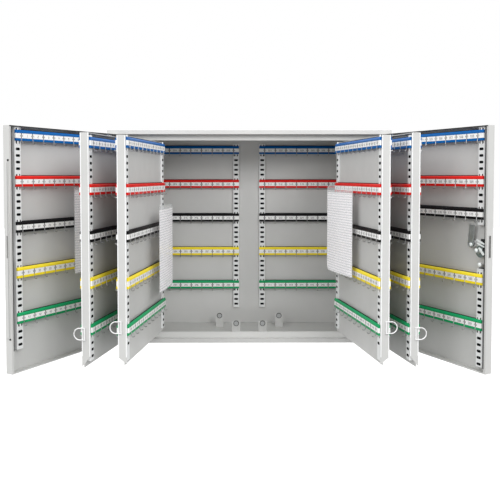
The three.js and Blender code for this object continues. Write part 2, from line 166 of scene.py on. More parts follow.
def plated(name, colour, low, high):
    """Zinc, nickel or chrome: drawn lines, cloudy tint and uneven shine."""
    n = Nodes(name)
    n.set(Metallic=0.92)
    place = n.add("ShaderNodeTexCoord")
    stretch = n.add("ShaderNodeMapping")
    stretch.inputs["Scale"].default_value = DRAWN
    n.link(place.outputs["Object"], stretch.inputs["Vector"])
    lines = n.add("ShaderNodeTexNoise", Scale=1.0, Detail=3.0)
    n.link(stretch.outputs["Vector"], lines.inputs["Vector"])
    cloud = n.ramp(n.noise(CLOUDS, 5.0), 0.0, 1.0)
    n.link(n.tint(cloud, shade(colour, 0.86), shade(colour, 1.08)), n.shader.inputs["Base Color"])
    n.link(n.ramp(lines.outputs["Fac"], low, high), n.shader.inputs["Roughness"])
    n.bump(lines.outputs["Fac"], FINE, 0.5)
    return n.material


def ruled_paper(name):
    """Printed card: pale paper with thin grey rules, which glows faintly though it is no lamp: painted light.
    """
    n = Nodes(name)
    n.set(Roughness=0.7, Emission_Color=(1, 0.96, 0.97, 1), Emission_Strength=0.11)
    place = n.add("ShaderNodeTexCoord")
    split = n.add("ShaderNodeSeparateXYZ")
    n.link(place.outputs["Object"], split.inputs["Vector"])
    step = n.add("ShaderNodeMath")
    step.operation = "MULTIPLY"
    step.inputs[1].default_value = 1 / RULE_PITCH
    n.link(split.outputs["Z"], step.inputs[0])
    part = n.add("ShaderNodeMath")
    part.operation = "FRACT"
    n.link(step.outputs[0], part.inputs[0])
    line = n.ramp(part.outputs[0], 1.0, 0.0, *RULE_EDGE)
    n.link(n.tint(line, PAPER, RULE), n.shader.inputs["Base Color"])
    n.bump(n.noise(FIBRES, 3.0), FINE, 0.5)
    return n.material


def clear_film(name):
    """Soft clear sleeve: mostly see-through, with faint creases that catch the light."""
    n = Nodes(name)
    n.set(Base_Color=(0.93, 0.95, 0.96, 1), Alpha=0.22, IOR=1.45)
    n.link(n.ramp(n.noise(SCUFFS, 4.0), 0.08, 0.25), n.shader.inputs["Roughness"])
    n.bump(n.noise(CREASES, 3.0), 0.0006, 0.5)
    return n.material


GREY_COAT = (0.608, 0.609, 0.597)
LOOKS = {
    "coat_case": coated("coat_case", GREY_COAT, 0.42),
    "coat_door": coated("coat_door", GREY_COAT, 0.42),
    # The leaves take the case paint 5% darker: painted shade.
    "coat_leaf_painted_shade": coated("coat_leaf_painted_shade", shade(GREY_COAT, 0.95), 0.42),
    "rail_white": coated("rail_white", (0.80, 0.81, 0.81), 0.38),
    # Pale strips on the leaves' cap folds: painted highlight.
    "bead_white": coated("bead_white", (0.88, 0.89, 0.89), 0.35),
    # Near black inside the rails' slots and channels: painted shade.
    "slot_dark": coated("slot_dark", (0.006, 0.006, 0.007), 0.8, depth=0.0001, specular=0.05),
    "strip_blue": coated("strip_blue", (0.0, 0.115, 0.39), 0.34, specular=0.14, variation=0.08),
    "strip_red": coated("strip_red", (0.73, 0.012, 0.008), 0.34, specular=0.14, variation=0.08),
    "strip_black": coated("strip_black", (0.006, 0.006, 0.007), 0.34, specular=0.14, variation=0.3),
    "strip_yellow": coated("strip_yellow", (0.97, 0.78, 0.03), 0.34, specular=0.14, variation=0.06),
    "strip_green": coated("strip_green", (0.015, 0.35, 0.125), 0.34, specular=0.14, variation=0.08),
    # Lighter copies of the strip colours for their sloping top faces: painted highlight where the light from
    # above falls. The black copy keeps its colour.
    "strip_blue_edge": coated("strip_blue_edge", (0.0, 0.115, 0.42), 0.38, specular=0.16, variation=0.08),
    "strip_red_edge": coated("strip_red_edge", (0.74, 0.018, 0.014), 0.38, specular=0.16, variation=0.08),
    "strip_black_edge": coated("strip_black_edge", (0.006, 0.006, 0.007), 0.42, specular=0.12, variation=0.3),
    "strip_yellow_edge": coated("strip_yellow_edge", (0.97, 0.79, 0.06), 0.38, specular=0.16, variation=0.06),
    "strip_green_edge": coated("strip_green_edge", (0.015, 0.37, 0.14), 0.38, specular=0.16, variation=0.08),
    "label_white": coated("label_white", (0.94, 0.94, 0.93), 0.5, variation=0.03),
    "label_ink": coated("label_ink", (0.12, 0.12, 0.14), 0.6, variation=0.1),
    "label_window": coated("label_window", (0.015, 0.015, 0.017), 0.5, variation=0.1),
    "hook_nickel": plated("hook_nickel", (0.42, 0.42, 0.42), 0.25, 0.4),
    "zinc": plated("zinc_plate", (0.62, 0.66, 0.66), 0.26, 0.46),
    "chrome": plated("chrome_plate", (0.74, 0.75, 0.76), 0.08, 0.2),
    # A pale non-metal coat on the lock's links and heads in place of plated zinc: painted reflection.
    "bright_zinc": coated("bright_zinc", (0.84, 0.88, 0.87), 0.25, specular=0.6, variation=0.1),
    "dull_zinc": coated("dull_zinc", (0.16, 0.20, 0.19), 0.4, variation=0.3),
    # A grey line along the left door's locking strip: painted shade.
    "groove_grey": coated("groove_grey", (0.22, 0.22, 0.22), 0.5, variation=0.1),
    "black_steel": coated("black_steel", (0.015, 0.016, 0.016), 0.4, variation=0.3),
    "magnet": coated("magnet_face", (0.42, 0.43, 0.43), 0.35, variation=0.1),
    # Near black set where shade falls: on the doors, above the strips, in the lock, in the strip's notches
    # and round the floor magnets. Painted shade.
    "seal": coated("painted_shade_black", (0.012, 0.012, 0.013), 0.75, depth=0.0002, variation=0.2),
    "wire_white": coated("wire_white", (0.80, 0.80, 0.80), 0.3, variation=0.03),
    "paper": ruled_paper("card_paper"),
    "film": clear_film("sleeve_film"),
}


# Mesh building


class Builder:
    """Collects faces, each with a look, for one mesh."""

    def __init__(self):
        self.verts, self.faces, self.looks = [], [], []

    def add(self, verts, faces, look):
        base = len(self.verts)
        self.verts += [tuple(v) for v in verts]
        self.faces += [[base + i for i in face] for face in faces]
        self.looks += [look] * len(faces)

    def prism(self, section, x, look):
        """A bar along X. The section is a counterclockwise list of (y, z) as seen from +X."""
        count = len(section)
        verts = [(x[0], y, z) for y, z in section] + [(x[1], y, z) for y, z in section]
        faces = [list(reversed(range(count))), [count + i for i in range(count)]]
        for i in range(count):
            j = (i + 1) % count
            faces.append([i, j, count + j, count + i])
        self.add(verts, faces, look)

    def box(self, x, y, z, look):
        self.prism([(y[0], z[0]), (y[1], z[0]), (y[1], z[1]), (y[0], z[1])], x, look)

    def plane_y(self, points, y, look):
        """A face towards +Y. The points are counterclockwise (x, z) with X to the right."""
        self.add([(px, y, pz) for px, pz in points], [list(reversed(range(len(points))))], look)

    def tube(self, path, radius, look, sides=8):
        """A round wire through the points of a path, with closed ends."""
        points = [Vector(p) for p in path]
        verts, faces = [], []
        side = None
        for i, point in enumerate(points):
            ahead = points[min(i + 1, len(points) - 1)] - points[max(i - 1, 0)]
            ahead.normalize()
            if side is None:
                side = ahead.orthogonal().normalized()
            side = (side - ahead * side.dot(ahead)).normalized()
            up = ahead.cross(side)
            for k in range(sides):
                a = 2 * math.pi * k / sides
                verts.append(point + side * (radius * math.cos(a)) + up * (radius * math.sin(a)))
        for i in range(len(points) - 1):
            for k in range(sides):
                m = (k + 1) % sides
                a, b = i * sides, (i + 1) * sides
                faces.append([a + k, a + m, b + m, b + k])
        last = (len(points) - 1) * sides
        faces.append(list(reversed(range(sides))))
        faces.append([last + k for k in range(sides)])
        self.add(verts, faces, look)

    def lathe_y(self, centre, profile, look, sides=20):
        """A turned piece about a line along Y through centre (x, z). The profile is (radius, y), rising y."""
        verts, faces = [], []
        for radius, y in profile:
            for k in range(sides):
                a = 2 * math.pi * k / sides
                verts.append((centre[0] + radius * math.cos(a), y, centre[1] + radius * math.sin(a)))
        for i in range(len(profile) - 1):
            for k in range(sides):
                m = (k + 1) % sides
                a, b = i * sides, (i + 1) * sides
                faces.append([a + k, b + k, b + m, a + m])
        last = (len(profile) - 1) * sides
        faces.append(list(range(sides)))
        faces.append([last + k for k in reversed(range(sides))])
        self.add(verts, faces, look)


SMOOTH_BELOW = math.radians(38)


def make_piece(name, builder, matrix, body, replaces=()):
    mesh = bpy.data.meshes.new(name)
    placed = [matrix @ Vector(v) for v in builder.verts]
    mesh.from_pydata(placed, [], builder.faces)
    used = sorted(set(builder.looks))
    for look in used:
        mesh.materials.append(LOOKS[look])
    mesh.polygons.foreach_set("material_index", [used.index(look) for look in builder.looks])
    mesh.polygons.foreach_set("use_smooth", [True] * len(mesh.polygons))
    mesh.update()
    mesh.set_sharp_from_angle(angle=SMOOTH_BELOW)
    piece = bpy.data.objects.new(name, mesh)
    bpy.context.scene.collection.objects.link(piece)
    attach(piece, body)
    if replaces:
        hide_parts(*replaces)
    return piece


# Places


def opened(body):
    """Turns a body's closed shape to its open place, which is the frame's rest."""
    for joint in frame["joints"]:
        if joint["child"] == body:
            pivot = Matrix.Translation(joint["pos_m"])
            turn = Matrix.Rotation(-math.radians(joint["range_deg"][1]), 4, Vector(joint["axis"]))
            return pivot @ turn @ pivot.inverted()
    return Matrix.Identity(4)


def on_face(x, y, facing):
    """Places rack millimetres on a face that looks towards +Y or -Y, with the rack's low-X end at x."""
    if facing > 0:
        return Matrix.Translation((x, y, 0))
    return Matrix.Translation((x + RACK_WIDTH, y, 0)) @ Matrix.Rotation(math.pi, 4, "Z")


def mirrored(sign, low, high):
    """A span of X that is given for the right side, on the side that sign says."""
    return sorted((sign * low, sign * high))


# Racks

SLOT_HALF, SLOT_FLAT = (5.6, 2.9), (4.1, 1.3)
SLOT_END = 4.5                      # the least steel between a slot's middle and the rail's end
RAIL_FOLD = 0.8                     # the bevel along a rail's folds
SKIN, HOLLOW = 0.5, 0.7             # how deep a slot's walls and the painted-shade plate behind it lie


def slot_outline(x, z):
    (w, h), (fw, fh) = SLOT_HALF, SLOT_FLAT
    corners = [(w, -fh), (w, fh), (fw, h), (-fw, h), (-w, fh), (-w, -fh), (-fw, -h), (fw, -h)]
    return [(x + dx, z + dz) for dx, dz in corners]


def add_rail(b, start, z, depth, slots):
    """One upright channel with rounded slots; their walls and a plate in the channel behind them are near
    black, painted shade.
    """
    x0, x1 = start + RAIL_FOLD, start + RAIL_WIDTH - RAIL_FOLD
    middle = start + RAIL_WIDTH / 2
    cells = [(max(z[0], slot - SLOT_PITCH / 2), min(z[1], slot + SLOT_PITCH / 2)) for slot in slots]
    for low, high in ((z[0], cells[0][0]), (cells[-1][1], z[1])):
        if high > low:
            b.plane_y([(x0, low), (x1, low), (x1, high), (x0, high)], depth, "rail_white")
    for slot, (low, high) in zip(slots, cells):
        h = slot_outline(middle, slot)
        for points in (
            [(x1, low), (x1, high), h[1], h[0]],
            [(x1, high), h[2], h[1]],
            [(x1, high), (x0, high), h[3], h[2]],
            [(x0, high), h[4], h[3]],
            [(x0, high), (x0, low), h[5], h[4]],
            [(x0, low), h[6], h[5]],
            [(x0, low), (x1, low), h[7], h[6]],
            [(x1, low), h[0], h[7]],
        ):
            b.plane_y(points, depth, "rail_white")
        # Each slot's walls are near black: painted shade.
        for i, first in enumerate(h):
            second = h[(i + 1) % len(h)]
            wall = [(first[0], depth, first[1]), (second[0], depth, second[1])]
            wall += [(second[0], depth - SKIN, second[1]), (first[0], depth - SKIN, first[1])]
            b.add(wall, [[3, 2, 1, 0]], "slot_dark")
    left, right = start, start + RAIL_WIDTH
    y0, y1 = 0.0, depth - RAIL_FOLD
    outline = [(left, y1), (left, y0), (right, y0), (right, y1), (x1, depth), (x0, depth)]
    for i in (0, 1, 2, 3, 5):
        (ax, ay), (bx, by) = outline[i], outline[(i + 1) % 6]
        b.add([(ax, ay, z[0]), (bx, by, z[0]), (bx, by, z[1]), (ax, ay, z[1])], [[0, 1, 2, 3]], "rail_white")
    b.add([(px, py, z[1]) for px, py in outline], [[0, 1, 2, 3, 4, 5]], "rail_white")
    b.add([(px, py, z[0]) for px, py in outline], [[5, 4, 3, 2, 1, 0]], "rail_white")
    # A near-black plate in the channel behind the slots: painted shade.
    b.plane_y([(x0, z[0]), (x1, z[0]), (x1, z[1]), (x0, z[1])], depth - HOLLOW, "slot_dark")


def slot_levels(rows, z):
    base = rows[0]
    first = math.ceil((z[0] + SLOT_END - base) / SLOT_PITCH)
    last = math.floor((z[1] - SLOT_END - base) / SLOT_PITCH)
    return [base + SLOT_PITCH * k for k in range(first, last + 1)]


# A strip's section, in millimetres out of its face and up from its row.
STRIP_TOP, STRIP_BOTTOM = 12.8, -10.5
STRIP_THICK, STRIP_ROOT = 4.0, 0.2
CHANNEL, CHANNEL_DEEP = (-5.2, 5.9), 0.8
LIP_CUT = 0.7
SLOPE_FOOT, SLOPE_RUN = 9.2, 2.6
# Where the painted highlight over the sloping top edge starts and ends, as offsets from the face and the row.
SLOPE_HIGHLIGHT = ((0.07, 9.43), (-2.33, 12.78))
# The black bar above a strip, painted shade: its span out from the rail face, and its height.
STRIP_SHADE_OUT, STRIP_SHADE_HEIGHT = (-0.6, 0.4), 1.5
TAB_HALF, TAB_OUT, TAB_END = 1.8, 1.0, 17.0

LABEL = (-4.9, 5.6)
LABEL_THICK, LABEL_MARGIN = 0.5, 0.4
LABEL_TIP = (-0.12, 0.4)            # the label's folded end, from past the strip's end to just inside it
DIVIDER, DIVIDER_THICK = 1.1, 0.3
MARK, MARK_INSET, MARK_WIDTH = (-1.6, 2.2), 1.4, 1.2
MARK_THICK, NUMBER_LIFT = 0.12, 0.08


def add_strip(b, row, depth, look):
    """A moulded strip: sloping top edge with a lighter painted highlight, a channel for the labels, a lower
    lip, and a black bar of painted shade above.
    """
    root, face = depth - STRIP_ROOT, depth + STRIP_THICK
    channel = face - CHANNEL_DEEP
    section = [
        (root, STRIP_BOTTOM),
        (face - LIP_CUT, STRIP_BOTTOM),
        (face, STRIP_BOTTOM + LIP_CUT),
        (face, CHANNEL[0]),
        (channel, CHANNEL[0]),
        (channel, CHANNEL[1]),
        (face, CHANNEL[1]),
        (face, SLOPE_FOOT),
        (face - SLOPE_RUN, STRIP_TOP),
        (root, STRIP_TOP),
    ]
    b.prism([(y, z + row) for y, z in section], (0.0, RACK_WIDTH), look)
    # A lighter copy of the strip's colour over its sloping top face: painted highlight.
    (y0, z0), (y1, z1) = [(face + y, row + z) for y, z in SLOPE_HIGHLIGHT]
    highlight_face = [(0.0, y0, z0), (RACK_WIDTH, y0, z0), (RACK_WIDTH, y1, z1), (0.0, y1, z1)]
    b.add(highlight_face, [[3, 2, 1, 0]], look + "_edge")
    # A black bar along the strip's top: painted shade.
    b.box((RAIL_WIDTH, RACK_WIDTH - RAIL_WIDTH), (depth + STRIP_SHADE_OUT[0], depth + STRIP_SHADE_OUT[1]),
          (row + STRIP_TOP, row + STRIP_TOP + STRIP_SHADE_HEIGHT), "seal")
    tip_out, tip_height = (depth + STRIP_ROOT, channel + LABEL_MARGIN), (row + LABEL[0], row + LABEL[1])
    for x in (LABEL_TIP, (RACK_WIDTH - LABEL_TIP[1], RACK_WIDTH - LABEL_TIP[0])):
        b.box(x, tip_out, tip_height, "label_white")
    for start in (0.0, RACK_WIDTH - RAIL_WIDTH):
        middle = start + RAIL_WIDTH / 2
        for low, high in ((STRIP_TOP, TAB_END), (-TAB_END, STRIP_BOTTOM)):
            b.box((middle - TAB_HALF, middle + TAB_HALF), (depth - TAB_OUT, depth + TAB_OUT),
                  (row + low, row + high), "label_white")


# Strokes of each digit, as (x, z, width, height) in a box one unit wide and two high.
STROKE = 0.26
SEGMENTS = {
    "top": (0, 2 - STROKE, 1, STROKE),
    "middle": (0, 1 - STROKE / 2, 1, STROKE),
    "bottom": (0, 0, 1, STROKE),
    "upper_left": (0, 1, STROKE, 1),
    "upper_right": (1 - STROKE, 1, STROKE, 1),
    "lower_left": (0, 0, STROKE, 1),
    "lower_right": (1 - STROKE, 0, STROKE, 1),
}
DIGITS = {
    "0": "top bottom upper_left upper_right lower_left lower_right",
    "1": "upper_right lower_right",
    "2": "top middle bottom upper_right lower_left",
    "3": "top middle bottom upper_right lower_right",
    "4": "middle upper_left upper_right lower_right",
    "5": "top middle bottom upper_left lower_right",
    "6": "top middle bottom upper_left lower_left lower_right",
    "7": "top upper_right lower_right",
    "8": "top middle bottom upper_left upper_right lower_left lower_right",
    "9": "top middle bottom upper_left upper_right lower_right",
}
DIGIT_WIDTH, DIGIT_GAP = 2.6, 1.0


def add_number(b, text, x, y, z):
    """A number centred on (x, z), read from +Y, so it runs towards -X."""
    span = len(text) * DIGIT_WIDTH + (len(text) - 1) * DIGIT_GAP
    for place, digit in enumerate(text):
        left = x + span / 2 - place * (DIGIT_WIDTH + DIGIT_GAP)
        for name in DIGITS[digit].split():
            sx, sz, w, h = (value * DIGIT_WIDTH for value in SEGMENTS[name])
            x0, x1 = left - sx - w, left - sx
            z0, z1 = z - DIGIT_WIDTH + sz, z - DIGIT_WIDTH + sz + h
            b.plane_y([(x0, z0), (x1, z0), (x1, z1), (x0, z1)], y, "label_ink")


def hook_places():
    return [HOOK_PITCH * (i + 0.5) for i in range(HOOKS)]


def add_labels(b, row, depth, first):
    """White number labels between dark dividers, each with a small dark mark beside every divider."""
    back = depth + STRIP_THICK - CHANNEL_DEEP
    front = back + LABEL_THICK
    z, mark = (row + LABEL[0], row + LABEL[1]), (row + MARK[0], row + MARK[1])
    hooks = hook_places()
    ends = [0.0] + hooks + [RACK_WIDTH]
    for x in hooks:
        b.box((x - DIVIDER, x + DIVIDER), (back, back + DIVIDER_THICK), z, "label_window")
    for i in range(len(ends) - 1):
        low = ends[i] + (DIVIDER if i else LABEL_MARGIN)
        high = ends[i + 1] - (DIVIDER if i < HOOKS else LABEL_MARGIN)
        b.box((low, high), (back, front), z, "label_white")
        marks = [low + MARK_INSET] if i else []
        if i < HOOKS:
            marks.append(high - MARK_INSET - MARK_WIDTH)
        for x in marks:
            b.box((x, x + MARK_WIDTH), (front, front + MARK_THICK), mark, "label_ink")
        if 0 < i < HOOKS:
            add_number(b, str(first + HOOKS - 1 - i), (low + high) / 2, front + NUMBER_LIFT, row)


# A hook's wire: its radius, where it leaves the labels and turns down, and the J at its foot.
HOOK_WIRE = 0.85
HOOK_ROOT, HOOK_BEND, HOOK_DROP = -4.6, -6.0, 1.9
HOOK_SINK, HOOK_TUCK = 0.6, 1.6
CURL_RADIUS, CURL_TURN, CURL_STEPS = 3.8, 0.86 * math.pi, 6


def add_hook(b, x, row, depth):
    """A wire J: it leaves the strip under the labels, runs down over the lip and curls out and up."""
    start = depth + STRIP_THICK + HOOK_WIRE - HOOK_SINK
    foot = row + STRIP_BOTTOM - HOOK_DROP
    path = [(x, start - HOOK_TUCK, row + HOOK_ROOT), (x, start, row + HOOK_BEND), (x, start, foot)]
    for step in range(1, CURL_STEPS + 1):
        a = CURL_TURN * step / CURL_STEPS
        path.append((x, start + CURL_RADIUS * (1 - math.cos(a)), foot - CURL_RADIUS * math.sin(a)))
    b.tube(path, HOOK_WIRE, "hook_nickel", sides=7)


def make_rack(label, body, rows, rails, depth, place, node, first, rail_break=None, plain=None):
    """A rack of two rails and five strips with its labels and hooks. A rail break is the heights between
    which the low-X rail is cut, and plain is a rail's start and the height below which it has no slots."""
    matrix = opened(body) @ TO_ROW @ place
    rail_mesh, strips, labels, hooks = Builder(), Builder(), Builder(), Builder()
    for start in (0.0, RACK_WIDTH - RAIL_WIDTH):
        spans = [rails]
        if rail_break and start == 0.0:
            spans = [(rails[0], rail_break[0]), (rail_break[1], rails[1])]
        for span in spans:
            levels = slot_levels(rows, span)
            if plain and plain[0] == start:
                levels = [level for level in levels if level > plain[1]]
            add_rail(rail_mesh, start, span, depth, levels)
    for index, row in enumerate(rows):
        add_strip(strips, row, depth, STRIP_COLOURS[index])
        add_labels(labels, row, depth, first + index * HOOKS)
        for x in hook_places():
            add_hook(hooks, x, row, depth)
    make_piece(f"rails_{label}", rail_mesh, matrix, body, [node])
    make_piece(f"strips_{label}", strips, matrix, body)
    make_piece(f"labels_{label}", labels, matrix, body)
    make_piece(f"hooks_{label}", hooks, matrix, body)


def even_rows(top):
    return [top - index * ROW_STEP for index in range(len(STRIP_COLOURS))]


DOOR_TOP_ROW, LEAF_TOP_ROW, WALL_TOP_ROW = 518.0, 501.0, 507.0
LOCK_SIDE_ROWS = [518.0, 420.0, 350.0, 210.0, 112.0]
LOCK_BREAK = (234.0, 328.0)
LEAF_RACK_INSET = 3.0               # from a leaf's hinge edge to its rack
LEAF_RAIL_DROP = 5.8                # from a leaf's top to its rails' tops
PLAIN_BELOW = 74.0                  # a leaf b's near back rail has no slots under this
WALL_RACK, WALL_RAILS = 29.5, (49.0, 526.0)


def make_racks():
    number = 1
    block = len(STRIP_COLOURS) * HOOKS
    face = STEEL + GAP
    door = DOORS["left"]
    make_rack("door_left", "left_door", even_rows(DOOR_TOP_ROW), door["rails"], DEEP,
              on_face(-door["rack"] - RACK_WIDTH, face, 1), "door_rack_left", number)
    number += block
    for side in ("left", "right"):
        for key, leaf in LEAVES.items():
            body = f"leaf_{side}_{key}"
            near = leaf["edge"] - LEAF_RACK_INSET - RACK_WIDTH
            x = near if side == "right" else -near - RACK_WIDTH
            for where, facing in (("back", 1), ("front", -1)):
                y = leaf["sheet"] + facing * (face - STEEL / 2)
                depth, foot = leaf["rack"][where]
                near_rail = 0.0 if side == "right" else RACK_WIDTH - RAIL_WIDTH
                plain = (near_rail, PLAIN_BELOW) if (key, where) == ("b", "back") else None
                make_rack(f"{side}_{key}_{where}", body, even_rows(LEAF_TOP_ROW),
                          (foot, leaf["top"] - LEAF_RAIL_DROP), depth, on_face(x, y, facing),
                          f"leaf_rack_{where}_{side}_{key}", number, None, plain)
                number += block
        x = WALL_RACK if side == "right" else -WALL_RACK - RACK_WIDTH
        make_rack(f"wall_{side}", "case", even_rows(WALL_TOP_ROW), WALL_RAILS, WALL,
                  on_face(x, BACK_WALL - GAP, -1), f"back_rack_{side}", number)
        number += block
    door = DOORS["right"]
    make_rack("door_right", "right_door", LOCK_SIDE_ROWS, door["rails"], DEEP,
              on_face(door["rack"], face, 1), "door_rack_right", number, LOCK_BREAK)


make_racks()


# Index cards

CARD_WIDTH, CARD_HEIGHT = 148.0, 199.0
CARD_COLUMNS = 24
CARD_BOW = 2.5
CORNER, FILM_CORNER = 9.0, 11.0
PAPER_INSET, PAPER_DROP = 2.0, 5.0
BACK_FILM, PAPER_LAYER, FRONT_FILM = (0.02, 0.14), (0.4, 0.7), (0.95, 1.1)


def bowed_sheet(b, columns, y, look):
    """A thin sheet of upright columns, each (x, foot, head), that bows out towards +Y in the middle."""
    verts, faces = [], []
    for x, foot, head in columns:
        out = CARD_BOW * math.sin(math.pi * abs(x) / CARD_WIDTH)
        verts += [(x, y[side] + out, z) for side in (0, 1) for z in (foot, head)]
    for i in range(len(columns) - 1):
        a, c = 4 * i, 4 * (i + 1)
        faces += [[a, c, c + 1, a + 1], [a + 2, a + 3, c + 3, c + 2]]
        faces += [[a + 1, c + 1, c + 3, a + 3], [a, a + 2, c + 2, c]]
    last = 4 * (len(columns) - 1)
    faces += [[0, 1, 3, 2], [last, last + 2, last + 3, last + 1]]
    if columns[-1][0] < columns[0][0]:
        faces = [list(reversed(face)) for face in faces]
    b.add(verts, faces, look)


def make_card(label, body, node, near, outs, top, flap):
    """A ruled card in a clear sleeve that hangs on the hooks. Near is its near edge, outs are the Y of its
    near and far edges, and flap is how far the sleeve's back stands above its front."""
    sign = -1 if near < 0 else 1
    turn = sign * math.atan2(outs[1] - outs[0], CARD_WIDTH)
    matrix = opened(body) @ TO_ROW @ Matrix.Translation((near, outs[0], 0)) @ Matrix.Rotation(turn, 4, "Z")
    paper, film = Builder(), Builder()
    foot = top - CARD_HEIGHT

    def columns(margin, head, corner):
        result = []
        for i in range(CARD_COLUMNS + 1):
            along = margin + (CARD_WIDTH - 2 * margin) * i / CARD_COLUMNS
            inset = max(0.0, corner - (CARD_WIDTH - margin - along))
            rise = corner - math.sqrt(max(0.0, corner**2 - inset**2))
            result.append((sign * along, foot + margin + rise, head))
        return result

    bowed_sheet(paper, columns(PAPER_INSET, top - PAPER_DROP, CORNER), PAPER_LAYER, "paper")
    bowed_sheet(film, columns(0.0, top, FILM_CORNER), FRONT_FILM, "film")
    bowed_sheet(film, columns(0.0, top + flap, FILM_CORNER), BACK_FILM, "film")
    make_piece(f"card_{label}", paper, matrix, body, [node])
    make_piece(f"sleeve_{label}", film, matrix, body)


make_card("door", "left_door", "index_card_door",
          near=-179.0, outs=(29.3, 29.3), top=403.0, flap=3.0)
make_card("left", "leaf_left_b", "index_card_left",
          near=-176.0, outs=(202.05, 197.05), top=358.0, flap=6.0)
make_card("right", "leaf_right_b", "index_card_right",
          near=152.0, outs=(190.05, 206.05), top=398.0, flap=10.0)


# Painted shade on the doors, leaf rivets, painted highlights on the cap folds, painted shade rings at the
# floor magnets, and the visible parts of the lock

# The black strip on a door's sheet, painted shade in the gap beside the rack: gaps to the near fold and to
# the rack, how far it stands off the sheet, heights.
SHEET_SHADE_GAPS, SHEET_SHADE_OUT, SHEET_SHADE_HEIGHTS = (0.2, 0.6), (0.05, 0.9), (12.5, 537.5)
# The black strips on its lips, painted shade under the top lip and along the upright one: depth, the upright
# one's place from the near edge, the top one's ends and heights.
LIP_SHADE_DEPTH, LIP_SHADE = (18.02, 18.2), (4.6, 6.3)
TOP_SHADE_START, TOP_SHADE_END, TOP_SHADE_HEIGHTS = 1.0, 352.0, (536.8, 539.0)


def make_door_shade(side):
    """Painted shade: black strips, one on the door's sheet beside the rack, and one on each lip, top and
    upright.
    """
    sign = -1 if side == "left" else 1
    body, door = f"{side}_door", DOORS[side]
    near = door["near"]
    seal = Builder()
    beside = mirrored(sign, near + STEEL + SHEET_SHADE_GAPS[0], door["rack"] - SHEET_SHADE_GAPS[1])
    seal.box(beside, (STEEL + SHEET_SHADE_OUT[0], STEEL + SHEET_SHADE_OUT[1]), SHEET_SHADE_HEIGHTS, "seal")
    top = mirrored(sign, near + TOP_SHADE_START, TOP_SHADE_END)
    seal.box(top, LIP_SHADE_DEPTH, TOP_SHADE_HEIGHTS, "seal")
    upright = mirrored(sign, near + LIP_SHADE[0], near + LIP_SHADE[1])
    seal.box(upright, LIP_SHADE_DEPTH, (door["rails"][0], TOP_SHADE_HEIGHTS[0]), "seal")
    make_piece(f"seal_{side}", seal, opened(body) @ TO_ROW, body)


# A rivet head, in parts of its radius and height.
DOME = ((1.0, 0.0), (1.0, 0.45), (0.75, 0.8), (0.35, 1.0))
DOME_SIDES = 14


def dome(b, x, y, z, radius, height, look, facing=1):
    profile = [(radius * r, y + facing * height * h) for r, h in DOME]
    if facing < 0:
        profile.reverse()
    b.lathe_y((x, z), profile, look, DOME_SIDES)


RIVET_RADIUS, RIVET_HEIGHT = 1.6, 1.2
RIVET_DROPS, RIVET_INSET = (6.0, 14.0), 1.9


def make_rivets(side, key, leaf):
    """Two rivets on each face, at the top of the hinge side, where the leaf's sheet meets its return."""
    sign = -1 if side == "left" else 1
    body = f"leaf_{side}_{key}"
    x = sign * (leaf["edge"] - RIVET_INSET)
    rivets = Builder()
    for drop in RIVET_DROPS:
        for facing in (1, -1):
            y = leaf["sheet"] + facing * STEEL / 2
            dome(rivets, x, y, leaf["top"] - drop, RIVET_RADIUS, RIVET_HEIGHT, "zinc", facing)
    make_piece(f"rivets_{side}_{key}", rivets, opened(body) @ TO_ROW, body)


# Pale strips on the folds of a leaf's cap, painted highlights where light catches them: their width, how far
# they stand proud of it, their place across its free edge.
FOLD_WIDTH, FOLD_PROUD, FOLD_ACROSS = 1.9, 0.05, (-0.5, 0.4)
FOLD_FOOT, FOLD_DROP = 54.0, 1.0


def make_fold_highlights(side, key, leaf):
    """Painted highlights: pale strips on the two folded edges of a leaf's cap, which stand a little proud of
    it.
    """
    sign = -1 if side == "left" else 1
    body = f"leaf_{side}_{key}"
    free = leaf["edge"] - LEAF_WIDTH
    reach = GAP + STEEL / 2
    front = leaf["sheet"] - reach - leaf["rack"]["front"][0]
    back = leaf["sheet"] + reach + leaf["rack"]["back"][0]
    fold_highlights = Builder()
    across = mirrored(sign, free + FOLD_ACROSS[0], free + FOLD_ACROSS[1])
    for y in ((front - FOLD_PROUD, front + FOLD_WIDTH), (back - FOLD_WIDTH, back + FOLD_PROUD)):
        fold_highlights.box(across, y, (FOLD_FOOT, leaf["top"] - FOLD_DROP), "bead_white")
    make_piece(f"beads_{side}_{key}", fold_highlights, opened(body) @ TO_ROW, body)


BAR_CUT = 0.45                      # the cut of a bar's corners, in parts of its half width


def slanted_bar(b, centre, length, half, degrees, y, look):
    """A flat bar in the XZ plane through centre, with its corners cut. Length and half are half its size."""
    a = math.radians(degrees)
    along, across = Vector((math.cos(a), math.sin(a))), Vector((-math.sin(a), math.cos(a)))
    cut = half * BAR_CUT
    outline = [(-length, -half + cut), (-length + cut, -half), (length - cut, -half), (length, -half + cut),
               (length, half - cut), (length - cut, half), (-length + cut, half), (-length, half - cut)]
    points = [Vector(centre) + along * u + across * v for u, v in outline]
    count = len(points)
    verts = [(p.x, y[0], p.y) for p in points] + [(p.x, y[1], p.y) for p in points]
    faces = [list(range(count)), [count + i for i in reversed(range(count))]]
    faces += [[i, count + i, count + (i + 1) % count, (i + 1) % count] for i in range(count)]
    b.add(verts, faces, look)


# Links: centre (x, z), half length, half width, slant in degrees, y from and to, look.
LINKS = (
    ((18.0, 291.0), 14.0, 1.7, 20, (15.4, 17.0), "bright_zinc"),
    ((16.0, 284.0), 14.0, 1.7, 20, (15.4, 17.0), "bright_zinc"),
    ((16.0, 272.0), 10.0, 2.4, 47, (17.0, 18.6), "bright_zinc"),
    ((19.0, 273.0), 11.0, 2.2, -40, (15.2, 16.8), "zinc"),
)
SPRING_PLATE, SPRING_PROFILE = (22.0, 271.0), [(13.0, 12.6), (13.0, 14.6), (11.5, 15.1)]
